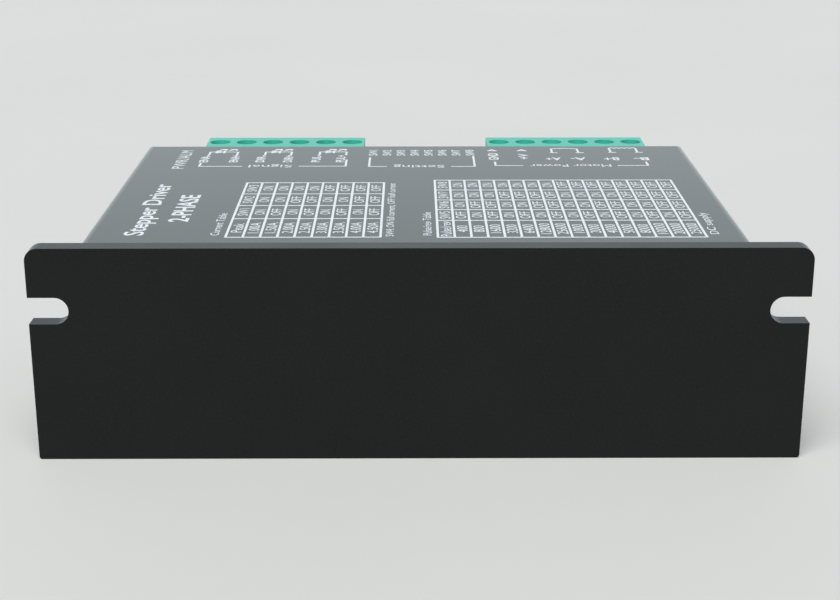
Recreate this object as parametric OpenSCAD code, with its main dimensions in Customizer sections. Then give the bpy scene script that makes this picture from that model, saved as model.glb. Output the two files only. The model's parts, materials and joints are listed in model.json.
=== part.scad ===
// Two-phase stepper driver module: an L-shaped finned heat sink with a slotted
// mounting plate, a folded sheet cover, a circuit board, two pluggable six-way
// terminal blocks, an eight-way setting switch and two status lamps.
// Millimetres. X runs along the mounting plate, Y from the plate's mounting face
// to the terminals, Z up. The origin is centred under the whole module.

/* [Mounting plate] */
// Length of the mounting plate
plate_w = 118; // [116:1:130]
// Height of the mounting plate
plate_h = 34; // [34:0.5:38]
// Thickness of the mounting plate
plate_t = 3.1; // [2.5:0.1:4]
// Radius of the plate's upper corners
corner_r = 2; // [1:0.5:4]
// Radius of the plate's lower corners
foot_r = 0.5; // [0.2:0.1:1]
// Width of the two open mounting slots
slot_w = 4.2; // [3.4:0.1:5]
// Distance from the plate's end to the round end of a slot
slot_reach = 6.1; // [4.5:0.1:6.5]
// Height of the slots' centre line
slot_z = 24.2; // [18:0.1:26]

/* [Cover] */
// Width of the folded cover
cover_w = 102.2; // [100:0.2:103]
// Distance from the mounting face to the connector face
cover_depth = 70.9; // [70.4:0.1:71.2]
// Sideways shift of the cover from the plate's middle
cover_shift = -0.5; // [-0.8:0.1:0.5]
// Thickness of the cover sheet
sheet_t = 0.8; // [0.6:0.1:0.8]
// Outside radius of the cover's bends
bend_r = 1.5; // [1.2:0.1:1.8]

/* [Heat sink] */
// Height of the base's floor above the underside
floor_z = 7; // [6.6:0.1:7.2]
// Depth of the cooling grooves in the underside
groove_d = 3.5; // [2:0.1:3.8]
// Width of one cooling groove
groove_w = 3.6; // [2.4:0.1:4]
// Number of cooling grooves
groove_count = 9; // [5:1:9]

/* [Terminals] */
// Spacing of the terminal ways
pitch = 5.08; // [5.08:0.01:5.1]
// Middle of the signal plug along X
signal_x = -25.35; // [-26:0.05:-25.3]
// Middle of the power plug along X
power_x = 28.3; // [28.2:0.05:29]
// Distance from the mounting face to the plugs' outer face
plug_reach = 77.7; // [77.5:0.1:78.5]
// Travel of a clamp cage
cage_travel = 2.5; // [2:0.1:2.5]

/* [Setting switch] */
// Middle of the switch along X
switch_x = 1; // [0.9:0.05:1.1]
// Travel of a lever from OFF to ON
lever_travel = 2; // [1.5:0.1:2]

/* [Hidden] */
ways = 6;
levers = 8;
$fn = 48;

// Shared fits
gap = 0.1;          // between parts that are assembled against each other
slot_play = 0.2;    // round a lever in its slot
screw_d = 3;        // M3 shank
tapped_d = 3.1;     // tapped hole, drawn plain
through_d = 3.3;    // clearance hole

// Cover and base
cover_top = plate_h - 0.1;
cover_x0 = cover_shift - cover_w / 2;
skirt_z = 1;
base_x0 = cover_x0 + sheet_t + gap;
base_w = cover_w - 2 * (sheet_t + gap);
base_end = cover_depth - sheet_t - gap;
groove_start = 7;
groove_pitch = (base_end - groove_start - groove_w - 3) / (groove_count - 1);
slot_x = plate_w / 2 - slot_reach + slot_w / 2;

// Screw rails on the base, which take the cover screws in their ends
rail_y = [9, 63.5];
rail_w = 7;
rail_top = floor_z + 4.5;
cover_screw_z = 7.2;
cover_screw_l = 8;
flat_head_d = 5.6;
flat_head_h = (flat_head_d - screw_d) / 2;
cross_w = 0.7;      // width of a screw's cross recess

// Folded back corners of the cover
slit_w = 0.2;
slit_drop = 2;
relief_d = 1.2;

// Pedestal under the transistors
pedestal_y = [21, 43];
pedestal_top = floor_z + 1.5;
pad_t = 0.3;

// Plug: heights hang from its top, depths from its outer face
plug_top = cover_top;
plug_h = 15;
plug_bottom = plug_top - plug_h;
plug_w = ways * pitch - 0.3;
hole_y = plug_reach - 4.2;
body_y = plug_reach - 10.3;
step_y = cover_depth - bend_r + 0.2;
step_top = cover_top - sheet_t - 0.2;
nose_y = body_y - 8.5;
pin_z = plug_bottom + 5.3;
nose_half_h = 3.1;
nose_z = pin_z + 0.3;

// Terminal clamp
head_d = 3.64;
head_h = 1.95;
head_hole_d = 3.8;
ledge_top = plug_top - 3.5;
cavity_top = ledge_top - 0.5;
cavity_bottom = plug_bottom + 1;
cage_bottom = cavity_bottom + gap;
cage = [4.1, 4.4, cavity_top - cage_bottom - cage_travel - 0.2];
cage_wall = 0.6;
cage_floor_t = 0.8;
cage_top_t = 1;
bar = [2.4, 0.8];
bar_z = pin_z - 0.7;
socket_outer = 2.2;
socket_inner = 1.2;

// Circuit board
board_top = plug_bottom + 1.3;
board_t = 1.6;
board_bottom = board_top - board_t;
board_edge = 0.6;
board_y0 = 5;
board_y1 = body_y - 0.4;
board_drill = 4;    // long enough to pass through the board
standoff_x = 44;
standoff_y = [17, 50];
standoff_spots = [for (y = standoff_y) for (side = [-1, 1]) [cover_shift + side * standoff_x, y]];
standoff_across = 6.2;
stud_l = 3;
board_screw_l = 5;

// Header
header_y0 = body_y - 12;
header_y1 = body_y - 0.1;
header_h = 8.6;
header_wall = 0.7;
header_back = 3.2;
pin_w = 1;
pin_back_y = header_y0 + 0.8;
pin_tip_y = header_y0 + 10.4;

// Transistors
transistor_pitch = 10.8;
transistor_x = [for (i = [0 : 7]) cover_shift + (i - 3.5) * transistor_pitch];
tab_y = 22;
tab_hole_y = tab_y + 2.9;
leg_pitch = 2.54;
leg_bend_y = tab_y + 20;
tab_hole_d = 3.8;
tab_t = 1.3;
bush_rim_t = 0.8;
transistor_screw_l = 6;

// Capacitors
capacitor_d = 12;
capacitor_l = 21;
capacitor_x = [-30, -5.5, 19];
capacitor_y = 14;
capacitor_lead_y = [-2.5, 2.5];
capacitor_lead_w = 0.6;
lead_bend_x = capacitor_l / 2 + 1.9;

// Other parts on the board, by their centres
inductor_spot = [36, 30];
inductor_size = [12, 12, 7];
shunt_x = [20, 28.5];
shunt_y = 47;
chip_spot = [-3, 34.5];
chip_w = 10;
chip_leg_pitch = 0.8;
coupler_y = 46;
coupler_size = [4.6, 6.4, 3.4];

// Setting switch
lever_pitch = 2.54;
switch_size = [21.4, 6, 9.8];
switch_face_y = cover_depth - sheet_t - 0.4;
switch_back_y = switch_face_y - switch_size[1];
switch_bottom = board_top + gap;
lever_off_z = switch_bottom + switch_size[2] / 2 + lever_travel / 2;
lever_x = [for (i = [0 : levers - 1]) switch_x + (i - (levers - 1) / 2) * lever_pitch];
nub = [1.2, 1.6];
foot = [1.7, 0.9, 2.6];
slot_wall = 1.1;
dip_pin_rows = [switch_back_y + 1.2, switch_back_y + 3.74];

// Status lamps
lamp_x = -44;
lamp_z = [board_top + 3.2, board_top + 8.2];
lamp_back_y = cover_depth - 8.5;
lamp_front_y = cover_depth - 1.7;
lamp_d = 3;
lamp_rim = 0.4;      // how far the lamp's flange stands out
lamp_lead_x = [-1.27, 1.27];
lamp_lead_w = 0.5;
holder_w = 5;
lead_y = [lamp_back_y - 1.6, lamp_back_y - 3.2];

function way_x(middle, way) = middle + (way - (ways + 1) / 2) * pitch;

// Puts a part drawn from the mounting face into the module's own frame
module placed() translate([0, -plug_reach / 2, 0]) children();

// Extrudes an outline given as (Y, Z) along X
module along_x(x0, length)
    translate([x0, 0, 0]) rotate([90, 0, 90]) linear_extrude(length) children();

// Extrudes an outline given as (X, Z) along Y
module along_y(y0, length)
    translate([0, y0 + length, 0]) rotate([90, 0, 0]) linear_extrude(length) children();

// A plain cylinder along Y from y0, at (x, z)
module rod_y(x, y0, z, d, length)
    translate([x, y0, z]) rotate([-90, 0, 0]) cylinder(d = d, h = length);

// A box given by its centre in X, and its start in Y and Z
module block(x, y, z, size) translate([x - size[0] / 2, y, z]) cube(size);

// Cross recess sunk below z = 0 to a depth
module cross_recess(across, depth)
    for (turn = [0, 90])
        rotate(turn) translate([-across / 2, -cross_w / 2, -depth]) cube([across, cross_w, depth + 1]);

// Pan-head screw, head up, with the underside of its head at z = 0
module pan_screw(length, d = 5.5, h = 2)
    difference() {
        union() {
            cylinder(d = d, h = h);
            translate([0, 0, -length]) cylinder(d = screw_d, h = length + h / 2);
        }
        translate([0, 0, h]) cross_recess(3, 1);
    }

// Four places where a screw enters a cover's end wall, with +Z pointing into the module
module at_cover_screws()
    for (side = [-1, 1]) for (y = rail_y)
        translate([cover_shift + side * cover_w / 2, y, cover_screw_z])
            rotate([0, -side * 90, 0]) children();

// Countersink from the cover's face inwards, which opens on past the face
module countersink(clearance = 0.2, overshoot = 0.3)
    translate([0, 0, -overshoot]) cylinder(
        d1 = flat_head_d + clearance + 2 * overshoot, d2 = screw_d + clearance,
        h = flat_head_h + overshoot);

// ---- Heat sink ----

module plate_outline()
    difference() {
        union() {
            translate([-plate_w / 2, foot_r]) square([plate_w, plate_h - corner_r - foot_r]);
            translate([foot_r - plate_w / 2, 0]) square([plate_w - 2 * foot_r, 2 * foot_r]);
            translate([corner_r - plate_w / 2, foot_r]) square([plate_w - 2 * corner_r, plate_h - foot_r]);
            for (side = [-1, 1]) {
                translate([side * (plate_w / 2 - corner_r), plate_h - corner_r]) circle(corner_r);
                translate([side * (plate_w / 2 - foot_r), foot_r]) circle(foot_r);
            }
        }
        for (side = [-1, 1]) {
            translate([side * slot_x, slot_z]) circle(d = slot_w);
            translate([side * (slot_x + slot_reach / 2), slot_z])
                square([slot_reach, slot_w], center = true);
        }
    }

module base_outline()
    difference() {
        union() {
            translate([plate_t / 2, 0]) square([base_end - plate_t / 2, floor_z]);
            translate([pedestal_y[0], 1]) square([pedestal_y[1] - pedestal_y[0], pedestal_top - 1]);
            for (y = rail_y) translate([y - rail_w / 2, 1]) square([rail_w, rail_top - 1]);
        }
        for (i = [0 : groove_count - 1]) translate([groove_start + i * groove_pitch, 0]) {
            translate([0, -1]) square([groove_w, groove_d - groove_w / 2 + 1]);
            translate([groove_w / 2, groove_d - groove_w / 2]) circle(d = groove_w);
        }
    }

module heatsink() color([0.10, 0.10, 0.11]) placed()
    difference() {
        union() {
            along_y(0, plate_t) plate_outline();
            along_x(base_x0, base_w) base_outline();
        }
        at_cover_screws() {
            cylinder(d = tapped_d, h = cover_screw_l + 2);
            countersink();
        }
        for (spot = standoff_spots)
            translate([spot[0], spot[1], floor_z - stud_l - 0.2]) cylinder(d = tapped_d, h = stud_l + 2);
        for (x = transistor_x)
            translate([x, tab_hole_y, groove_d + 1]) cylinder(d = tapped_d, h = pedestal_top);
    }

// ---- Cover ----

// Box with rounded top edges at its ends and its connector side, open below
module folded_box(inset, r)
    intersection() {
        along_y(plate_t + gap - inset, cover_depth - plate_t - gap) folded_outline(
            cover_x0 + inset, cover_x0 + cover_w - inset, cover_top - inset, r, r);
        along_x(cover_x0 - 1, cover_w + 2) folded_outline(
            plate_t + gap - 2 * inset, cover_depth - inset, cover_top - inset, 0, r);
    }

module folded_outline(left, right, top, left_r, right_r) {
    translate([left, skirt_z - 1]) square([right - left, top - skirt_z + 1 - max(left_r, right_r)]);
    translate([left + left_r, skirt_z]) square([right - left - left_r - right_r, top - skirt_z]);
    if (left_r > 0) translate([left + left_r, top - left_r]) circle(left_r);
    if (right_r > 0) translate([right - right_r, top - right_r]) circle(right_r);
}

module cover() color([0.17, 0.18, 0.19]) placed()
    difference() {
        folded_box(0, bend_r);
        folded_box(sheet_t, bend_r - sheet_t);
        translate([cover_x0 - 1, 0, skirt_z - 2]) cube([cover_w + 2, cover_depth + 1, 2]);
        for (x = [signal_x, power_x])
            block(x, cover_depth - bend_r, plug_bottom - 0.3, [plug_w + 0.6, bend_r + 1, plug_h + 2]);
        block(switch_x, cover_depth - 2, switch_bottom + 0.9, [levers * lever_pitch - 1.1, 3, 8]);
        for (z = lamp_z) rod_y(lamp_x, cover_depth - 2, z, lamp_d + 0.4, 3);
        at_cover_screws() {
            cylinder(d = screw_d + 0.2, h = 2 * sheet_t);
            countersink();
        }
        // joint line and relief hole at the two connector corners
        for (side = [-1, 1]) {
            slit_x = cover_shift + side * (cover_w / 2 - sheet_t - 0.15);
            block(slit_x, cover_depth - 2, 0, [slit_w, 3, cover_top - slit_drop]);
            rod_y(slit_x, cover_depth - 2, cover_top - slit_drop, relief_d, 3);
        }
    }

// Countersunk screws, two in each end of the cover
module cover_screws() color([0.12, 0.12, 0.13]) placed()
    at_cover_screws() difference() {
        union() {
            cylinder(d1 = flat_head_d, d2 = screw_d, h = flat_head_h);
            cylinder(d = screw_d, h = cover_screw_l);
        }
        rotate([180, 0, 0]) cross_recess(3.2, 0.9);
    }

// ---- Circuit board and what holds it ----

module board_hole(x, y, d)
    translate([x, y, board_bottom - 1]) cylinder(d = d, h = board_drill);

module circuit_board() color([0.05, 0.30, 0.16]) placed()
    difference() {
        translate([base_x0 + board_edge, board_y0, board_bottom])
            cube([base_w - 2 * board_edge, board_y1 - board_y0, board_t]);
        for (spot = standoff_spots) board_hole(spot[0], spot[1], through_d);
        for (middle = [signal_x, power_x]) for (way = [1 : ways])
            board_hole(way_x(middle, way), pin_back_y + pin_w / 2, 1.6);
        for (x = transistor_x) for (leg = [-1 : 1]) board_hole(x + leg * leg_pitch, leg_bend_y, 1.3);
        for (x = lever_x) for (y = dip_pin_rows) board_hole(x, y, 0.9);
        for (x = lamp_lead_x) for (y = lead_y) board_hole(lamp_x + x, y + lamp_lead_w / 2, 0.9);
        for (x = capacitor_x) for (y = capacitor_lead_y)
            board_hole(x + lead_bend_x + capacitor_lead_w / 2, capacitor_y + y, 1.1);
    }

// Hexagonal brass spacers screwed into the base
module board_standoffs() color([0.78, 0.62, 0.30]) placed()
    for (spot = standoff_spots) translate([spot[0], spot[1], floor_z])
        difference() {
            union() {
                cylinder(d = standoff_across, h = board_bottom - floor_z, $fn = 6);
                translate([0, 0, -stud_l]) cylinder(d = screw_d, h = stud_l + 1);
            }
            translate([0, 0, board_bottom - floor_z - board_screw_l - 1])
                cylinder(d = tapped_d, h = board_screw_l + 2);
        }

module board_screws() color([0.75, 0.76, 0.78]) placed()
    for (spot = standoff_spots) translate([spot[0], spot[1], board_top]) pan_screw(board_screw_l);

// Flat power packages with their legs bent up through the board
module power_transistors() color([0.13, 0.13, 0.14]) placed()
    for (x = transistor_x) {
        z = pedestal_top + pad_t;
        difference() {
            union() {
                block(x, tab_y, z, [10, 7, tab_t]);
                block(x, tab_y + 6.4, z, [10, 9.2, 4.4]);
                for (leg = [-1 : 1]) {
                    block(x + leg * leg_pitch, tab_y + 15, z + 2.4, [0.8, 5.25, 0.5]);
                    block(x + leg * leg_pitch, leg_bend_y - 0.25, z + 2.4, [0.8, 0.5, board_top - z - 1.2]);
                }
            }
            translate([x, tab_hole_y, z - 1]) cylinder(d = tab_hole_d, h = tab_t + 2);
        }
    }

module insulating_pad() color([0.62, 0.66, 0.68]) placed()
    difference() {
        translate([transistor_x[0] - 6, pedestal_y[0] + 0.4, pedestal_top])
            cube([7 * transistor_pitch + 12, 17, pad_t]);
        for (x = transistor_x) translate([x, tab_hole_y, pedestal_top - 1])
            cylinder(d = tab_hole_d, h = 3);
    }

// Shoulder washers that keep each screw off its transistor's tab
module transistor_bushes() color([0.80, 0.78, 0.70]) placed()
    for (x = transistor_x) translate([x, tab_hole_y, pedestal_top + pad_t])
        difference() {
            union() {
                cylinder(d = tab_hole_d - gap, h = tab_t + bush_rim_t);
                translate([0, 0, tab_t]) cylinder(d = 6.4, h = bush_rim_t);
            }
            translate([0, 0, -1]) cylinder(d = tapped_d, h = 4);
        }

module transistor_screws() color([0.70, 0.71, 0.73]) placed()
    for (x = transistor_x)
        translate([x, tab_hole_y, pedestal_top + pad_t + tab_t + bush_rim_t])
            pan_screw(transistor_screw_l);

// ---- Parts on the board ----

// Electrolytic capacitors lying on the board, leads turned down into it
module bulk_capacitors() color([0.10, 0.11, 0.16]) placed()
    for (x = capacitor_x) {
        axis_z = board_top + capacitor_d / 2;
        union() {
            translate([x - capacitor_l / 2, capacitor_y, axis_z]) rotate([0, 90, 0]) rotate_extrude()
                difference() {
                    square([capacitor_d / 2, capacitor_l]);
                    translate([capacitor_d / 2, capacitor_l - 2.5]) circle(0.6);
                }
            for (y = capacitor_lead_y) translate([x, capacitor_y + y - capacitor_lead_w / 2, 0]) {
                translate([capacitor_l / 2 - 0.5, 0, axis_z - capacitor_lead_w / 2])
                    cube([3, capacitor_lead_w, capacitor_lead_w]);
                translate([lead_bend_x, 0, board_bottom - 1]) cube(
                    [capacitor_lead_w, capacitor_lead_w, axis_z + capacitor_lead_w / 2 - board_bottom + 1]);
            }
        }
    }

module power_inductor() color([0.22, 0.22, 0.23]) placed()
    translate([inductor_spot[0], inductor_spot[1], board_top]) difference() {
        block(0, -inductor_size[1] / 2, 0, inductor_size);
        translate([0, 0, inductor_size[2] - 0.4]) cylinder(d = 8, h = 1);
    }

// Flat resistors that carry the motor current
module current_shunts() color([0.20, 0.20, 0.21]) placed()
    for (x = shunt_x) block(x, shunt_y, board_top, [6.4, 3.2, 0.7]);

module controller_chip() color([0.14, 0.14, 0.15]) placed()
    translate([chip_spot[0], chip_spot[1], board_top]) {
        block(0, -chip_w / 2, 0.15, [chip_w, chip_w, 1.4]);
        for (turn = [0 : 3]) rotate(turn * 90) for (i = [-5 : 5])
            block(i * chip_leg_pitch, chip_w / 2 - 0.2, 0, [0.32, 1.2, 0.75]);
    }

// One coupler for each input pair
module optocouplers() color([0.15, 0.15, 0.16]) placed()
    for (pair = [0 : 2]) {
        x = way_x(signal_x, 1.5 + 2 * pair);
        block(x, coupler_y, board_top + 0.1, coupler_size);
        for (leg = [-0.5, 0.5]) for (y = [coupler_y - 1, coupler_y + coupler_size[1] - 1])
            block(x + leg * leg_pitch, y, board_top, [0.5, 2, 1.6]);
    }

// ---- Headers ----

module header_pin(x, clearance) {
    block(x, pin_back_y - clearance, pin_z - pin_w / 2 - clearance,
        [pin_w + 2 * clearance, pin_tip_y - pin_back_y + 2 * clearance, pin_w + 2 * clearance]);
    block(x, pin_back_y - clearance, board_bottom - 1.2,
        [pin_w + 2 * clearance, pin_w + 2 * clearance, pin_z + pin_w / 2 - board_bottom + 1.2]);
}

module header(middle) color([0.12, 0.55, 0.33]) placed()
    difference() {
        block(middle, header_y0, board_top, [plug_w, header_y1 - header_y0, header_h]);
        block(middle, header_y0 + header_back, nose_z - nose_half_h - 0.2,
            [plug_w - 2 * header_wall, 20, 2 * nose_half_h + 0.4]);
        for (way = [1 : ways]) {
            header_pin(way_x(middle, way), 0.02);
            // keyways in the roof
            block(way_x(middle, way), header_y1 - 3, board_top + header_h - 1.5, [1.6, 4, 3]);
        }
    }

module header_pins(middle) color([0.82, 0.82, 0.80]) placed()
    for (way = [1 : ways]) header_pin(way_x(middle, way), 0);

// ---- Plugs ----

module plug_outline() {
    body_chamfer = 0.6;
    polygon([
        [nose_y, nose_z - nose_half_h], [body_y, nose_z - nose_half_h], [body_y, plug_bottom],
        [plug_reach - body_chamfer, plug_bottom], [plug_reach, plug_bottom + body_chamfer],
        [plug_reach, plug_top - 0.3], [plug_reach - 0.3, plug_top], [step_y, plug_top],
        [step_y, step_top], [body_y, step_top], [body_y, nose_z + nose_half_h],
        [nose_y, nose_z + nose_half_h]
    ]);
}

// Hollow for one way: screw hole, clamp chamber, wire entry and contact channel
module way_hollow(x) {
    translate([x, hole_y, ledge_top]) cylinder(d = head_hole_d, h = 10);
    translate([x, hole_y, cavity_top - 1]) cylinder(d = tapped_d, h = 5);
    block(x, hole_y - cage[1] / 2 - gap, cavity_bottom,
        [cage[0] + 2 * gap, cage[1] + 2 * gap, cavity_top - cavity_bottom]);
    block(x, hole_y, cavity_bottom + 0.7, [3.4, 10, 3.6]);
    block(x, plug_reach - 0.8, cavity_bottom + 0.3, [4.2, 2, 4.4]);
    block(x, nose_y - 1, pin_z - socket_outer / 2 - 0.05,
        [socket_outer + 0.1, hole_y - nose_y, socket_outer + 0.1]);
}

module plug(middle) color([0.13, 0.62, 0.38]) placed()
    difference() {
        along_x(middle - plug_w / 2, plug_w) plug_outline();
        // the nose is narrower than the body, to enter the header
        for (side = [-1, 1])
            block(middle + side * plug_w / 2, nose_y - 1, plug_bottom,
                [2 * header_wall + 0.4, body_y - nose_y + 1, plug_h]);
        for (way = [1 : ways]) way_hollow(way_x(middle, way));
        // grooves between the ways on the outer face
        for (way = [1 : ways - 1])
            block(way_x(middle, way + 0.5), plug_reach - 0.3, plug_bottom - 1, [0.4, 1, plug_h - 2]);
    }

// Spring socket for the header pin, with the bar that the wire is clamped against
module plug_contacts(middle) color([0.80, 0.80, 0.78]) placed()
    for (way = [1 : ways]) {
        x = way_x(middle, way);
        difference() {
            union() {
                block(x, nose_y + 0.6, pin_z - socket_outer / 2,
                    [socket_outer, body_y - nose_y - 0.6, socket_outer]);
                block(x, body_y - 0.8, bar_z, [socket_outer, hole_y - body_y, bar[1]]);
                block(x, hole_y - cage[1] / 2 - gap, bar_z, [bar[0], cage[1] + gap, bar[1]]);
            }
            block(x, nose_y, pin_z - socket_inner / 2,
                [socket_inner, body_y - nose_y - 0.5, socket_inner]);
        }
    }

module terminal_screw(middle, way) color([0.80, 0.80, 0.82]) placed()
    translate([way_x(middle, way), hole_y, ledge_top + 0.05])
        difference() {
            union() {
                cylinder(d = head_d, h = head_h);
                translate([0, 0, bar_z + bar[1] + 0.3 - ledge_top]) cylinder(
                    d = screw_d, h = ledge_top - bar_z - bar[1]);
            }
            translate([-3, -0.4, head_h - 1]) cube([6, 0.8, 2]);
        }

// Rising frame that pulls the wire up against the contact bar
module clamp_cage(middle, way) color([0.78, 0.72, 0.52]) placed()
    translate([way_x(middle, way), hole_y, cage_bottom])
        difference() {
            translate([-cage[0] / 2, -cage[1] / 2, 0]) cube(cage);
            block(0, -cage[1], cage_floor_t,
                [cage[0] - 2 * cage_wall, 2 * cage[1], cage[2] - cage_floor_t - cage_top_t]);
            cylinder(d = tapped_d, h = 10);
        }

// ---- Setting switch ----

// Room for a lever's nub or foot over its whole travel
module lever_slot(x, y, size)
    block(x, y, lever_off_z - lever_travel - size[2] / 2 - slot_play,
        [size[0] + slot_play, size[1] + slot_play, lever_travel + size[2] + 2 * slot_play]);

module dip_switch() color([0.62, 0.10, 0.10]) placed()
    difference() {
        block(switch_x, switch_back_y, switch_bottom, switch_size);
        for (x = lever_x) {
            lever_slot(x, switch_face_y - slot_wall - foot[1] / 2, [nub[0], 10, nub[1]]);
            lever_slot(x, switch_face_y - slot_wall - foot[1] - slot_play, foot);
        }
    }

module dip_pins() color([0.82, 0.82, 0.80]) placed()
    for (x = lever_x) for (y = dip_pin_rows)
        block(x, y - 0.15, board_bottom - 1, [0.5, 0.3, board_t + 1 + gap]);

module dip_lever(lever) color([0.92, 0.92, 0.90]) placed()
    union() {
        block(lever_x[lever - 1], switch_face_y - slot_wall - 0.3, lever_off_z - nub[1] / 2,
            [nub[0], slot_wall + 1.1, nub[1]]);
        block(lever_x[lever - 1], switch_face_y - slot_wall - foot[1] - 0.1,
            lever_off_z - foot[2] / 2, foot);
    }

// ---- Status lamps ----

module led_holder() color([0.09, 0.09, 0.10]) placed()
    difference() {
        block(lamp_x, lamp_back_y, board_top, [holder_w, lamp_front_y - lamp_back_y - 0.3, 11.2]);
        for (z = lamp_z) {
            rod_y(lamp_x, lamp_back_y - 1, z, lamp_d + gap, 20);
            rod_y(lamp_x, lamp_back_y - 1, z, lamp_d + 2 * lamp_rim + gap, 2.1);
        }
    }

// Round lamp with its two leads bent down into the board
module lamp(index) {
    z = lamp_z[index];
    rod_y(lamp_x, lamp_back_y, z, lamp_d + 2 * lamp_rim, 1);
    rod_y(lamp_x, lamp_back_y, z, lamp_d, lamp_front_y - lamp_back_y);
    translate([lamp_x, lamp_front_y, z]) sphere(d = lamp_d);
    for (x = lamp_lead_x) {
        block(lamp_x + x, lead_y[index], z - lamp_lead_w / 2,
            [lamp_lead_w, lamp_back_y - lead_y[index] + 0.2, lamp_lead_w]);
        block(lamp_x + x, lead_y[index], board_bottom - 1,
            [lamp_lead_w, lamp_lead_w, z + lamp_lead_w / 2 - board_bottom + 1]);
    }
}

module power_led() color([0.30, 0.75, 0.35]) placed() lamp(0);
module alarm_led() color([0.80, 0.15, 0.12]) placed() lamp(1);

// ---- Assembly ----

heatsink();
cover();
cover_screws();
circuit_board();
board_standoffs();
board_screws();
power_transistors();
insulating_pad();
transistor_bushes();
transistor_screws();
bulk_capacitors();
power_inductor();
current_shunts();
controller_chip();
optocouplers();
header(signal_x);  // signal_header
header_pins(signal_x);  // signal_pins
header(power_x);  // power_header
header_pins(power_x);  // power_pins
dip_switch();
dip_pins();
led_holder();
power_led();
alarm_led();
plug(signal_x);  // signal_plug
plug_contacts(signal_x);  // signal_contacts
plug(power_x);  // power_plug
plug_contacts(power_x);  // power_contacts
for (way = [1 : ways]) {
    terminal_screw(signal_x, way);
    terminal_screw(power_x, way);
    clamp_cage(signal_x, way);
    clamp_cage(power_x, way);
}
for (lever = [1 : levers])
    dip_lever(lever);
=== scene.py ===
"""Stepper driver module: finishes, printed label, floor, light and camera around the CAD frame."""
import json
import math
import bmesh
import bpy
from mathutils import Matrix, Vector


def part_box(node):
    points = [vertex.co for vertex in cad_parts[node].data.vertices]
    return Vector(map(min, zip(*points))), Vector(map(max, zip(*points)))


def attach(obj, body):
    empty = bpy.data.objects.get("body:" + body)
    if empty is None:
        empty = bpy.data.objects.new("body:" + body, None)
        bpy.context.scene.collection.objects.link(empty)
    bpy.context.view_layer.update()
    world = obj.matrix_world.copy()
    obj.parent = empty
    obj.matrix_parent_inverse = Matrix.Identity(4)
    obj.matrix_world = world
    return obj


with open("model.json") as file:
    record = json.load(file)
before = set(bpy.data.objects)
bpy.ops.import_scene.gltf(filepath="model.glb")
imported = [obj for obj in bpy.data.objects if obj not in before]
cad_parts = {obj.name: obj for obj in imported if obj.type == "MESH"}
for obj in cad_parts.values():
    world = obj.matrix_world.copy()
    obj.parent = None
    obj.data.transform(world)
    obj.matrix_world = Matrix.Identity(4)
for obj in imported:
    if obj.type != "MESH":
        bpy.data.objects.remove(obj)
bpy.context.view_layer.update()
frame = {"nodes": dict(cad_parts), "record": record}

MM = 0.001
SCENE = bpy.context.scene
NODES = frame["nodes"]

# ---- Places taken from the frame, in metres ----

FACE_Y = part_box("heatsink")[0].y   # the mounting face, in front
LABEL_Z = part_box("cover")[1].z     # the cover's top, which carries the label
SWITCH_LOW, SWITCH_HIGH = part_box("dip_switch")


# ---- Shader graphs ----

# A Mix node's sockets for colours: its inputs and its result
MIX_FACTOR, MIX_FIRST, MIX_SECOND, MIX_RESULT = 0, 6, 7, 2


def as_colour(value):
    """A socket as it is, or three numbers with a full alpha."""
    return value if isinstance(value, bpy.types.NodeSocket) else (*value, 1.0)


class Graph:
    """Short calls for the nodes of one shader graph."""

    def __init__(self, tree, coordinates):
        self.tree = tree
        self.where = tree.nodes.new("ShaderNodeTexCoord").outputs[coordinates]

    def plug(self, socket, value):
        if isinstance(value, bpy.types.NodeSocket):
            self.tree.links.new(value, socket)
        else:
            socket.default_value = value

    def add(self, kind, **inputs):
        node = self.tree.nodes.new(kind)
        for name, value in inputs.items():
            self.plug(node.inputs[name.replace("_", " ")], value)
        return node

    def maths(self, operation, first, second):
        node = self.tree.nodes.new("ShaderNodeMath")
        node.operation = operation
        self.plug(node.inputs[0], first)
        self.plug(node.inputs[1], second)
        return node.outputs[0]

    def summed(self, first, second):
        return self.maths("ADD", first, second)

    def times(self, value, factor):
        return self.maths("MULTIPLY", value, factor)

    def scaled(self, value, low, high, start=0.3, end=0.7, smooth=False):
        """Carries a value from start..end to low..high. Noise mostly lies within 0.3 to 0.7."""
        node = self.add("ShaderNodeMapRange", Value=value,
                        From_Min=start, From_Max=end, To_Min=low, To_Max=high)
        if smooth:
            node.interpolation_type = "SMOOTHSTEP"
        return node.outputs["Result"]

    def mixed(self, factor, first, second):
        node = self.tree.nodes.new("ShaderNodeMix")
        node.data_type = "RGBA"
        self.plug(node.inputs[MIX_FACTOR], factor)
        self.plug(node.inputs[MIX_FIRST], as_colour(first))
        self.plug(node.inputs[MIX_SECOND], as_colour(second))
        return node.outputs[MIX_RESULT]

    def split(self):
        return self.add("ShaderNodeSeparateXYZ", Vector=self.where).outputs

    def stretch(self, scale):
        """The coordinates, scaled apart along each axis."""
        return self.add("ShaderNodeMapping", Vector=self.where, Scale=scale).outputs["Vector"]

    def noise(self, scale, detail=3.0, rough=0.5, where=None):
        node = self.add("ShaderNodeTexNoise", Vector=where or self.where,
                        Scale=scale, Detail=detail, Roughness=rough)
        return node.outputs["Fac"]


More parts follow.
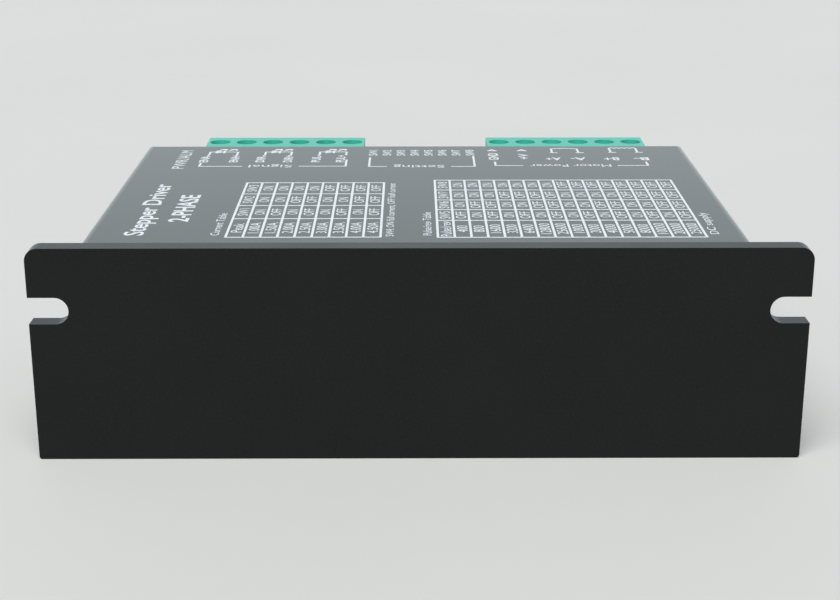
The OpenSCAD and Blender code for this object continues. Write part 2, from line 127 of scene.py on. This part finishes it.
class Paint(Graph):
    """One Principled material. Its flat colour and roughness stay under the ones its graph gives."""

    def __init__(self, name, colour, roughness, **sockets):
        self.material = bpy.data.materials.new(name)
        self.material.use_nodes = True
        super().__init__(self.material.node_tree, "Object")
        self.shader = self.tree.nodes["Principled BSDF"]
        self.shader.inputs["Base Color"].default_value = (*colour, 1.0)
        self.shader.inputs["Roughness"].default_value = roughness
        for socket, value in sockets.items():
            self.shader.inputs[socket.replace("_", " ")].default_value = value

    def colour(self, value):
        self.plug(self.shader.inputs["Base Color"], value)

    def roughness(self, value):
        self.plug(self.shader.inputs["Roughness"], value)

    def bump(self, height, strength, depth):
        node = self.add("ShaderNodeBump", Height=height, Strength=strength, Distance=depth)
        self.plug(self.shader.inputs["Normal"], node.outputs["Normal"])


# ---- Materials ----

def anodised_aluminium():
    """Black anodising over an etched extrusion, whose faint die lines run along X."""
    paint = Paint("anodised_aluminium", (0.005, 0.005, 0.005), 0.28, Specular_IOR_Level=0.25)
    clouds = paint.noise(70, 4, 0.6)
    grain = paint.noise(2600, 2)
    drawn = paint.noise(1, 3, where=paint.stretch((60, 2600, 2600)))
    tone = paint.mixed(paint.scaled(clouds, 0, 1), (0.0024, 0.0032, 0.0034), (0.0038, 0.0045, 0.0046))
    paint.colour(paint.mixed(paint.scaled(grain, 0, 0.35, start=0.45, end=0.8), tone, (0.016, 0.018, 0.018)))
    paint.roughness(paint.scaled(clouds, 0.25, 0.32))
    paint.bump(paint.summed(grain, paint.times(drawn, 0.8)), 0.12, 0.02 * MM)
    return paint.material


def cover_paint():
    """Smooth dark paint with a fine orange peel."""
    paint = Paint("cover_paint", (0.040, 0.046, 0.046), 0.12)
    clouds = paint.noise(45, 3)
    peel = paint.noise(1300, 3)
    specks = paint.noise(5200, 2)
    tone = paint.mixed(paint.scaled(clouds, 0, 1), (0.036, 0.041, 0.041), (0.042, 0.047, 0.047))
    paint.colour(paint.mixed(paint.scaled(specks, 0, 0.3, start=0.55, end=0.8), tone, (0.080, 0.086, 0.086)))
    paint.roughness(paint.scaled(clouds, 0.10, 0.14))
    paint.bump(peel, 0.05, 0.01 * MM)
    return paint.material


def white_print():
    paint = Paint("white_print", (0.84, 0.91, 0.95), 0.45)
    wear = paint.noise(900, 4)
    shade = paint.scaled(wear, 0, 1, start=0.35, end=0.65)
    paint.colour(paint.mixed(shade, (0.81, 0.89, 0.94), (0.88, 0.94, 0.97)))
    paint.roughness(paint.scaled(wear, 0.35, 0.45))
    return paint.material


def moulded_plastic(name, dark, light, roughness, texture=0.12):
    """Spark-eroded plastic: its shade drifts with the flow of the melt."""
    paint = Paint(name, light, roughness)
    flow = paint.noise(160, 3)
    grain = paint.noise(4200, 2)
    paint.colour(paint.mixed(paint.scaled(flow, 0, 1), dark, light))
    paint.roughness(paint.scaled(flow, roughness - 0.04, roughness + 0.06))
    paint.bump(paint.summed(grain, flow), texture, 0.02 * MM)
    return paint.material


def turned_metal(name, dark, light, roughness, metal=1.0):
    """Plated or bare metal with tool marks round its upright axis."""
    paint = Paint(name, light, roughness, Metallic=metal)
    stain = paint.noise(420, 4)
    marks = paint.noise(1, 2, where=paint.stretch((2600, 2600, 400)))
    paint.colour(paint.mixed(paint.scaled(stain, 0, 1), dark, light))
    paint.roughness(paint.scaled(marks, roughness - 0.08, roughness + 0.10))
    paint.bump(marks, 0.06, 0.01 * MM)
    return paint.material


def lamp_lens(name, deep, bright):
    paint = Paint(name, bright, 0.12, Transmission_Weight=0.45, IOR=1.5)
    swirl = paint.noise(700, 2)
    paint.colour(paint.mixed(paint.scaled(swirl, 0, 1), deep, bright))
    paint.roughness(paint.scaled(swirl, 0.08, 0.16))
    return paint.material


def board_mask():
    """Solder mask over faint tracks, with a finer weave of glass below it."""
    paint = Paint("circuit_board", (0.01, 0.12, 0.05), 0.3, Coat_Weight=0.4)
    brick = paint.add("ShaderNodeTexBrick", Vector=paint.where, Scale=180.0, Mortar_Size=0.03)
    lanes = paint.noise(1, 0, where=paint.stretch((900, 60, 60)))
    tracks = paint.scaled(lanes, 0, 1, start=0.48, end=0.52)
    weave = paint.noise(1, 1, where=paint.stretch((2400, 2400, 60)))
    tone = paint.mixed(tracks, (0.008, 0.085, 0.035), (0.014, 0.15, 0.06))
    paint.colour(paint.mixed(paint.times(brick.outputs["Fac"], 0.6), tone, (0.02, 0.19, 0.08)))
    paint.roughness(paint.scaled(weave, 0.24, 0.36))
    paint.bump(paint.summed(tracks, paint.times(weave, 0.3)), 0.4, 0.03 * MM)
    return paint.material


def sleeve():
    """Shrunk capacitor sleeve with a pale polarity stripe along its top."""
    paint = Paint("capacitor_sleeve", (0.02, 0.022, 0.05), 0.3)
    ripple = paint.noise(500, 2)
    foot, head = LABEL_Z - 2.6 * MM, LABEL_Z - 2.4 * MM
    stripe = paint.scaled(paint.split()["Z"], 0, 1, start=foot, end=head)
    paint.colour(paint.mixed(stripe, (0.018, 0.020, 0.045), (0.45, 0.47, 0.50)))
    paint.roughness(paint.scaled(ripple, 0.22, 0.34))
    paint.bump(ripple, 0.2, 0.03 * MM)
    return paint.material


def floor_finish():
    paint = Paint("floor", (0.72, 0.73, 0.71), 0.7, Specular_IOR_Level=0.15)
    soft = paint.noise(6, 3)
    fine = paint.noise(300, 3)
    paint.colour(paint.mixed(paint.scaled(soft, 0, 1), (0.71, 0.72, 0.70), (0.74, 0.75, 0.735)))
    paint.roughness(paint.scaled(fine, 0.6, 0.75))
    paint.bump(fine, 0.08, 0.05 * MM)
    return paint.material


def finishes():
    """One finish for each material slot of the record."""
    return {
        "anodised_aluminium": anodised_aluminium(),
        "cover_paint": cover_paint(),
        "black_screw": turned_metal("black_screw", (0.02, 0.02, 0.022), (0.05, 0.05, 0.052), 0.38, 0.7),
        "circuit_board": board_mask(),
        "brass": turned_metal("brass", (0.55, 0.38, 0.14), (0.72, 0.52, 0.22), 0.3),
        "steel_screw": turned_metal("steel_screw", (0.50, 0.50, 0.49), (0.68, 0.68, 0.67), 0.32),
        "black_epoxy": moulded_plastic("black_epoxy", (0.012, 0.012, 0.013), (0.022, 0.022, 0.023), 0.5, 0.3),
        "thermal_pad": moulded_plastic("thermal_pad", (0.16, 0.19, 0.21), (0.21, 0.24, 0.26), 0.7),
        "white_nylon": moulded_plastic("white_nylon", (0.62, 0.60, 0.52), (0.70, 0.68, 0.60), 0.45),
        "capacitor_sleeve": sleeve(),
        "ferrite": moulded_plastic("ferrite", (0.03, 0.03, 0.03), (0.055, 0.053, 0.05), 0.7, 0.5),
        "green_plastic": moulded_plastic("green_plastic", (0.055, 0.52, 0.395), (0.075, 0.60, 0.46), 0.36),
        "tinned_brass": turned_metal("tinned_brass", (0.56, 0.55, 0.52), (0.72, 0.71, 0.68), 0.3),
        "red_plastic": moulded_plastic("red_plastic", (0.42, 0.015, 0.012), (0.52, 0.022, 0.018), 0.34),
        "black_plastic": moulded_plastic("black_plastic", (0.010, 0.010, 0.011), (0.018, 0.018, 0.019), 0.45),
        "green_lens": lamp_lens("green_lens", (0.05, 0.42, 0.10), (0.12, 0.62, 0.18)),
        "red_lens": lamp_lens("red_lens", (0.55, 0.02, 0.015), (0.75, 0.05, 0.03)),
        "clamp_brass": turned_metal("clamp_brass", (0.50, 0.47, 0.38), (0.66, 0.62, 0.50), 0.34),
        "white_plastic": moulded_plastic("white_plastic", (0.72, 0.72, 0.69), (0.80, 0.80, 0.77), 0.4),
    }


def dress_nodes(finish):
    """Gives every CAD node the finish of its slot in the record."""
    for row in frame["record"]["subparts"]:
        node = NODES[row["node"]]
        node.data.materials.clear()
        node.data.materials.append(finish[row["material_slot"]])


# Edge radius in mm of each node that shows and has sharp edges, by its name, without a closing number.
# The cover isn't here, because its bends are modelled.
EDGE_RADII = {
    "heatsink": 0.15, "signal_plug": 0.12, "power_plug": 0.12,
    "signal_header": 0.12, "power_header": 0.12, "dip_switch": 0.12, "dip_lever_": 0.10, "led_holder": 0.12,
    "signal_screw_": 0.08, "power_screw_": 0.08, "signal_cage_": 0.10, "power_cage_": 0.10,
    "cover_screws": 0.05,
}

# Nodes whose flat faces are first made whole round their holes, so that the rims round cleanly.
# The switch can't have this: it spoils the faces between its slots.
WHOLE_FLATS = ("heatsink", "signal_plug", "power_plug")
WELD_WITHIN = 0.002 * MM
FLAT_WITHIN = math.radians(0.5)    # two faces this close in angle are one flat
SHARP_FROM = math.radians(35)      # an edge at this angle or more is rounded


def soften_edges():
    """Rounds the sharp edges, which the finish then catches the light on."""
    for name, node in NODES.items():
        radius = EDGE_RADII.get(name) or EDGE_RADII.get(name[:-1])
        if radius is None:
            continue
        weld = node.modifiers.new("weld", "WELD")
        weld.merge_threshold = WELD_WITHIN
        if name in WHOLE_FLATS:
            flats = node.modifiers.new("whole_flats", "DECIMATE")
            flats.decimate_type = "DISSOLVE"
            flats.angle_limit = FLAT_WITHIN
        bevel = node.modifiers.new("soft_edges", "BEVEL")
        bevel.width = radius * MM
        bevel.segments = 2
        bevel.limit_method = "ANGLE"
        bevel.angle_limit = SHARP_FROM
        bevel.use_clamp_overlap = True
        node.modifiers.new("even_normals", "WEIGHTED_NORMAL")


# ---- Camera, light and floor ----

# Where the module was seen from: in mm from the middle of the mounting face's foot, and in degrees
EYE_RIGHT, EYE_BACK, EYE_UP = -1.12, 226.5, 100.1
LOOKS_DOWN, LOOKS_ROUND = 18.14, -0.29
FILM_WIDTH, LENS = 36, 67.94

# The key light: the way towards it, and how wide it is
KEY_FROM = (-0.12, -0.60, 1.0)
KEY_WIDE = math.radians(50)


def camera():
    """A long lens a little above the mounting plate."""
    data = bpy.data.cameras.new("camera")
    data.sensor_width = FILM_WIDTH
    data.lens = LENS
    data.clip_start = 0.01
    data.clip_end = 20
    eye = bpy.data.objects.new("camera", data)
    eye.location = (EYE_RIGHT * MM, FACE_Y - EYE_BACK * MM, EYE_UP * MM)
    eye.rotation_euler = (math.radians(90 - LOOKS_DOWN), 0, math.radians(LOOKS_ROUND))
    SCENE.collection.objects.link(eye)
    SCENE.camera = eye


def key_light():
    """A very large soft light above and in front of the mounting plate."""
    data = bpy.data.lights.new("key", "SUN")
    data.energy = 2.85
    data.angle = KEY_WIDE
    lamp = bpy.data.objects.new("key", data)
    lamp.rotation_euler = Vector(KEY_FROM).to_track_quat("Z", "Y").to_euler()
    SCENE.collection.objects.link(lamp)


def surroundings():
    """A dim room with a pale band round its horizon, tall and cool behind the terminals."""
    world = bpy.data.worlds.new("studio")
    SCENE.world = world
    world.use_nodes = True
    sky = Graph(world.node_tree, "Generated")
    back, height = sky.split()["Y"], sky.split()["Z"]
    top = sky.scaled(back, 0.04, 0.38, start=0.0, end=0.8)
    band = sky.scaled(height, 1, 0, start=top, end=sky.summed(top, 0.25), smooth=True)
    room = world.node_tree.nodes["Background"]
    sky.plug(room.inputs["Color"], sky.mixed(band, (0.96, 0.98, 1.0), (0.87, 0.98, 1.02)))
    sky.plug(room.inputs["Strength"], sky.scaled(band, 0.16, 0.90, start=0, end=1))
    SCENE.view_settings.view_transform = "Standard"


def floor():
    mesh = bpy.data.meshes.new("floor")
    size, height = 6.0, -0.02 * MM
    corners = [(-size, -size, height), (size, -size, height), (size, size, height), (-size, size, height)]
    mesh.from_pydata(corners, [], [(0, 1, 2, 3)])
    sheet = bpy.data.objects.new("floor", mesh)
    SCENE.collection.objects.link(sheet)
    mesh.materials.append(floor_finish())


# ---- Printing ----

INK = 0.010 * MM          # how far the ink stands off the face, at the least
INK_STEPS = 7             # how many ink heights the lines take in turn
LINE = 0.38               # width of the table lines and brackets, in mm
THIN = 0.40               # width of the symbol lines, in mm
SHARPEST_MITRE = 0.45     # least cosine of half a turn: it keeps a mitre from running out into a spike
CAPITAL = 0.70            # height of the font's capitals, as set
THICK = 0.5               # half the depth of the font's letters, as extruded
AWAY = math.radians(90)   # text that runs from the mounting plate towards the terminals
BACK = math.radians(180)  # text read from the terminal side
LEVERS = 8                # of the setting switch

# The label lies on the cover, with X as the frame's and Y from the mounting face.
LABEL = Matrix.Translation((0, FACE_Y, LABEL_Z))
# The switch face is seen from the terminal side: X runs against the frame's, and Y up from its foot.
SWITCH_FACE = (Matrix.Translation(((SWITCH_LOW.x + SWITCH_HIGH.x) / 2, SWITCH_HIGH.y, SWITCH_LOW.z))
               @ Matrix.Rotation(math.pi, 4, "Z") @ Matrix.Rotation(math.pi / 2, 4, "X"))


class Print:
    """Ink on one flat face, gathered into one mesh. Places are in mm on that face."""

    def __init__(self, name, face=LABEL):
        self.name = name
        self.face = face
        self.mesh = bmesh.new()
        self.lines = 0

    def path(self, *points, width=LINE):
        """A line through the points, mitred at its turns and longer by half its width at its ends."""
        half = width / 2 * MM
        spots = [Vector((*point, 0)) * MM for point in points]
        ways = [(end - start).normalized() for start, end in zip(spots, spots[1:])]
        spots[0] = spots[0] - ways[0] * half
        spots[-1] = spots[-1] + ways[-1] * half
        lift = Vector((0, 0, self.next_height(ways[0])))
        rings = []
        for spot, before, after in zip(spots, ways[:1] + ways, ways + ways[-1:]):
            along = (before + after).normalized()
            across = Vector((-along.y, along.x, 0)) * half / max(along.dot(after), SHARPEST_MITRE)
            corners = (spot - across, spot + across, spot + across + lift, spot - across + lift)
            rings.append([self.mesh.verts.new(corner) for corner in corners])
        self.mesh.faces.new(rings[0])
        self.mesh.faces.new(rings[-1])
        for near, far in zip(rings, rings[1:]):
            for i in range(4):
                self.mesh.faces.new((near[i], near[i - 1], far[i - 1], far[i]))

    def next_height(self, way):
        """Ink height of the next line: lines that cross never end level with each other."""
        self.lines = (self.lines + 1) % INK_STEPS
        return INK * (1 + 0.5 * abs(way.x) + 0.06 * self.lines)

    def write(self, text, place, height, length, turn=AWAY, bold=0.0):
        """Text centred on a place, with a given capital height and length."""
        curve = bpy.data.curves.new("ink", "FONT")
        curve.body = text
        curve.offset = bold
        curve.extrude = THICK
        curve.resolution_u = 3
        sheet = bpy.data.objects.new("ink", curve)
        SCENE.collection.objects.link(sheet)
        graph = bpy.context.evaluated_depsgraph_get()
        mesh = bpy.data.meshes.new_from_object(sheet.evaluated_get(graph))
        xs = [v.co.x for v in mesh.vertices]
        mesh.transform(
            Matrix.Translation((place[0] * MM, place[1] * MM, 0)) @ Matrix.Rotation(turn, 4, "Z")
            @ Matrix.Diagonal((length * MM / (max(xs) - min(xs)), height * MM / CAPITAL, INK, 1))
            @ Matrix.Translation((-(min(xs) + max(xs)) / 2, -CAPITAL / 2, THICK)))
        self.mesh.from_mesh(mesh)
        bpy.data.objects.remove(sheet)
        bpy.data.curves.remove(curve)
        bpy.data.meshes.remove(mesh)

    def finish(self, ink):
        mesh = bpy.data.meshes.new(self.name)
        bmesh.ops.remove_doubles(self.mesh, verts=self.mesh.verts, dist=0.001 * MM)
        bmesh.ops.recalc_face_normals(self.mesh, faces=self.mesh.faces)
        self.mesh.to_mesh(mesh)
        self.mesh.free()
        mesh.transform(self.face)
        mesh.materials.append(ink)
        piece = bpy.data.objects.new(self.name, mesh)
        SCENE.collection.objects.link(piece)
        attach(piece, "housing")


# ---- The two setting tables ----

CELL_HEIGHT = 1.7
CELL_LENGTHS = {"ON": 3.0, "OFF": 4.1, "Peak": 5.2, "Pulse/rev": 8.6}
SWITCH_LENGTH = 4.4
DIGIT_LENGTH = 1.22


def cell_length(cell):
    if cell.startswith("SW"):
        return SWITCH_LENGTH
    return CELL_LENGTHS.get(cell, DIGIT_LENGTH * len(cell))


def table(name, ink, left, pitch, depths, rows):
    """A ruled table on its side: rows run away from the plate, and depths bound the columns."""
    lines = Print(name + "_lines")
    words = Print(name + "_text")
    right = left + pitch * len(rows)
    for i in range(len(rows) + 1):
        lines.path((left + i * pitch, depths[0]), (left + i * pitch, depths[-1]))
    for depth in depths:
        lines.path((left, depth), (right, depth))
    for i, row in enumerate(rows):
        for cell, near, far in zip(row, depths, depths[1:]):
            middle = (left + (i + 0.5) * pitch, (near + far) / 2)
            words.write(cell, middle, CELL_HEIGHT, cell_length(cell))
    lines.finish(ink)
    words.finish(ink)


def on_off(number, bits):
    """Switch settings for one table row, the lowest bit first."""
    return ["ON" if number >> bit & 1 else "OFF" for bit in range(bits)]


def current_table(ink):
    """Round values from 1 A up by 0.5 A, from all three switches ON to all OFF."""
    rows = [["Peak", "SW1", "SW2", "SW3"]]
    for step in range(8):
        rows.append([f"{1 + 0.5 * step:.2f}A"] + on_off(7 - step, 3))
    table("current_table", ink, left=-29.65, pitch=2.63, depths=(6.4, 17.2, 25.4, 33.1, 40.9), rows=rows)


def pulse_table(ink):
    """The usual step counts: doublings, then round numbers, down to all four switches OFF."""
    rows = [["Pulse/rev", "SW5", "SW6", "SW7", "SW8"]]
    pulses = [400 * 2 ** step for step in range(7)] + [1000 * n for n in (1, 2, 4, 5, 8, 10, 20, 25)]
    for step, count in enumerate(pulses):
        rows.append([str(count)] + on_off(14 - step, 4))
    table("pulse_table", ink, left=2.8, pitch=2.57, depths=(6.2, 16.0, 22.6, 28.9, 35.6, 42.6), rows=rows)


# Words, the place of their middle, their capital height, their length and how much bolder they are.
# The font's M turns black when it is made bolder, so words that hold one stay as they are.
TITLES = (
    ("Stepper Driver", (-44.0, 23.7), 3.0, 32.4, 0.015),
    ("2-PHASE", (-38.2, 23.9), 3.1, 17.0, 0.02),
    ("Current Table", (-31.5, 14.0), 1.35, 13.0, 0.0),
    ("Pulse/rev Table", (1.2, 14.2), 1.35, 13.6, 0.0),
    ("SW4: ON full current, OFF half current", (-4.6, 23.6), 1.25, 33.5, 0.0),
    ("DC supply", (45.4, 14.2), 1.35, 12.6, 0.0),
    ("PWR/ALM", (-43.3, 58.85), 2.2, 14.5, 0.0),
)


def titles(ink):
    words = Print("label_titles")
    for text, place, height, length, bold in TITLES:
        words.write(text, place, height, length, bold=bold)
    words.finish(ink)


# ---- Labels at the terminals and the switch ----

CAPTION_HEIGHT, CAPTION_GAP = 1.9, 1.4


def group_bracket(lines, words, caption, line_y, left, right, caption_x, length):
    """A bracket round one connector's labels, open at its caption. left and right are the risers' tops."""
    for side, top in ((-1, left), (1, right)):
        lines.path(top, (top[0], line_y), (caption_x + side * (length / 2 + CAPTION_GAP), line_y))
    words.write(caption, (caption_x, line_y), CAPTION_HEIGHT, length, BACK)


def input_symbol(lines, left, right):
    """An opto-coupled input: a diode between two pins, with its two light arrows."""
    foot, level = 62.3, 64.85
    diode = left + 1.9
    lines.path((left, foot), (left, level), (right, level), (right, foot), width=THIN)
    lines.path((diode - 0.7, level - 0.8), (diode + 0.5, level), (diode - 0.7, level + 0.8), width=THIN)
    for x in (diode - 0.7, diode + 0.7):
        lines.path((x, level - 0.8), (x, level + 0.8), width=THIN)
    for x in (diode - 0.4, diode + 1.5):
        lines.path((x, level + 1.1), (x + 1.2, level + 2.1), width=THIN)
        lines.path((x + 0.3, level + 2.2), (x + 1.3, level + 2.2), (x + 1.3, level + 1.4), width=THIN)


def coil_symbol(lines, left, right, foot, level, turns):
    """A motor winding between two pins: its turns are bumps along the line."""
    steps, bump = 24, 0.5
    bumps = [(left + (right - left) * i / steps, level + bump * abs(math.sin(math.pi * turns * i / steps)))
             for i in range(steps + 1)]
    lines.path((left, foot), *bumps, (right, foot), width=THIN)
    for x in (left, right):
        lines.path((x - 0.3, foot), (x + 0.8, foot), width=THIN)


def signal_labels(lines, words):
    group_bracket(lines, words, "Signal", 53.3, (-39.6, 55.8), (-13.15, 58.3), -26.75, 7.8)
    names = ("ENA-", "ENA+", "DIR-", "DIR+", "PUL-", "PUL+")
    for name, x in zip(names, (-39.3, -33.85, -29.0, -23.95, -18.8, -14.3)):
        words.write(name, (x, 59.3), 1.6, 5.6, bold=0.02)
    for left, right in ((-38.9, -33.7), (-28.5, -23.65), (-18.35, -13.4)):
        input_symbol(lines, left, right)


def setting_labels(lines, words):
    group_bracket(lines, words, "Setting", 53.0, (-8.9, 60.0), (10.2, 61.1), 0.1, 9.2)
    first, pitch = -8.4, 2.576
    for lever in range(LEVERS):
        words.write(f"SW{lever + 1}", (first + lever * pitch, 64.1), 1.6, 4.6, bold=0.01)


def power_labels(lines, words):
    group_bracket(lines, words, "Motor Power", 53.6, (14.0, 56.4), (41.6, 56.25), 27.55, 14.7)
    foot, tip, half = 65.6, 66.6, 0.7    # of the arrowhead at each supply pin
    for name, x, length in (("GND", 13.9, 5.6), ("+V", 19.5, 4.2)):
        words.write(name, (x, 60.9), 1.8, length, bold=0.02)
        lines.path((x - half, foot), (x, tip), (x + half, foot), width=THIN)
        lines.path((x - half, foot), (x + half, foot), width=THIN)
    for name, x in zip(("A+", "A-", "B+", "B-"), (24.9, 29.5, 35.6, 41.1)):
        words.write(name, (x, 58.9), 2.2, 2.8, BACK, bold=0.02)
    coil_symbol(lines, 25.1, 30.0, foot=63.9, level=67.2, turns=1)
    coil_symbol(lines, 36.1, 41.1, foot=64.2, level=67.6, turns=5)


def terminal_labels(ink):
    lines = Print("terminal_lines")
    words = Print("terminal_text")
    for labels in (signal_labels, setting_labels, power_labels):
        labels(lines, words)
    lines.finish(ink)
    words.finish(ink)


def switch_print(ink):
    """Numbers over the levers, and the way to push them."""
    marks = Print("switch_print", SWITCH_FACE)
    middle, pitch = (LEVERS - 1) / 2, 2.54
    for lever in range(LEVERS):
        length = 0.7 if lever else 0.2    # the numeral 1 is narrow
        marks.write(str(lever + 1), ((middle - lever) * pitch, 7.95), 1.1, length, 0)
    marks.write("ON", (7.6, 1.9), 1.1, 1.9, 0)
    marks.path((9.3, 2.4), (9.3, 1.5), width=0.2)
    marks.path((8.9, 1.9), (9.3, 1.4), (9.7, 1.9), width=0.2)
    marks.finish(ink)


camera()
key_light()
surroundings()
floor()
dress_nodes(finishes())
soften_edges()
label_ink = white_print()
for print_part in (current_table, pulse_table, titles, terminal_labels, switch_print):
    print_part(label_ink)
